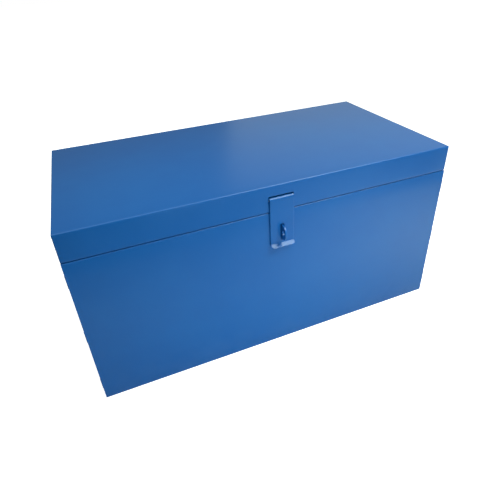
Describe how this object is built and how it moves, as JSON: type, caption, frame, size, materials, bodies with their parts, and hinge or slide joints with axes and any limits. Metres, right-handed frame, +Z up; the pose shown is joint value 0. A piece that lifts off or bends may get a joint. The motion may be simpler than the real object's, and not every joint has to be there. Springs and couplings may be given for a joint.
{
  "type": "jobsite storage box",
  "caption": "Folded sheet-steel storage chest with a hinged tray lid, a slotted hasp over a padlock staple, drop handles on both ends and slotted lid stays.",
  "frame": {"origin": "middle of the floor's underside", "axes": "+X along the width to the viewer's right, -Y out of the front wall with the hasp, +Z up"},
  "size_m": [0.838, 0.4311, 0.4],
  "materials": {
    "blue_enamel": "semi-gloss enamel",
    "zinc_steel": "bright zinc plating",
    "black_rubber": "matt sponge"
  },
  "bodies": {
    "box": {"body_wrap": "blue_enamel", "left_end_panel": "blue_enamel", "right_end_panel": "blue_enamel", "rim_gasket": "black_rubber", "padlock_staple": "blue_enamel", "left_hinge_body_leaf": "blue_enamel", "left_hinge_pin": "zinc_steel", "centre_hinge_body_leaf": "blue_enamel", "centre_hinge_pin": "zinc_steel", "right_hinge_body_leaf": "blue_enamel", "right_hinge_pin": "zinc_steel", "left_handle_plate": "blue_enamel", "left_handle_rivets": "blue_enamel", "left_stay_body_stud": "zinc_steel", "right_handle_plate": "blue_enamel", "right_handle_rivets": "blue_enamel", "right_stay_body_stud": "zinc_steel"},
    "lid": {"lid_shell": "blue_enamel", "lid_stiffener": "blue_enamel", "hasp_bracket": "blue_enamel", "hasp_pin": "zinc_steel", "left_hinge_lid_leaf": "blue_enamel", "centre_hinge_lid_leaf": "blue_enamel", "right_hinge_lid_leaf": "blue_enamel", "left_stay_lid_stud": "zinc_steel", "right_stay_lid_stud": "zinc_steel"},
    "hasp": {"hasp_strap": "blue_enamel"},
    "left_handle": {"left_handle_bail": "zinc_steel"},
    "left_stay": {"left_stay_arm": "zinc_steel"},
    "right_handle": {"right_handle_bail": "zinc_steel"},
    "right_stay": {"right_stay_arm": "zinc_steel"}
  },
  "joints": [
    {"name": "lid_hinge", "type": "hinge", "parent": "box", "child": "lid", "pos_m": [0, 0.20455, 0.3434], "axis": [-1, 0, 0], "range_deg": [0, 100]},
    {"name": "hasp_hinge", "type": "hinge", "parent": "lid", "child": "hasp", "pos_m": [0, -0.1956, 0.3687], "axis": [-1, 0, 0], "range_deg": [0, 90]},
    {"name": "left_handle_swing", "type": "hinge", "parent": "box", "child": "left_handle", "pos_m": [-0.411, 0, 0.225], "axis": [0, 1, 0], "range_deg": [0, 90]},
    {"name": "left_stay_swing", "type": "hinge", "parent": "lid", "child": "left_stay", "pos_m": [-0.38175, 0.05455, 0.3654], "axis": [-1, 0, 0], "range_deg": [-50, 0]},
    {"name": "right_handle_swing", "type": "hinge", "parent": "box", "child": "right_handle", "pos_m": [0.411, 0, 0.225], "axis": [0, -1, 0], "range_deg": [0, 90]},
    {"name": "right_stay_swing", "type": "hinge", "parent": "lid", "child": "right_stay", "pos_m": [0.38175, 0.05455, 0.3654], "axis": [-1, 0, 0], "range_deg": [-50, 0]}
  ],
  "couplings": [
    {"joint": "left_stay_swing", "follows": "lid_hinge", "ratio": -0.5},
    {"joint": "right_stay_swing", "follows": "lid_hinge", "ratio": -0.5}
  ]
}
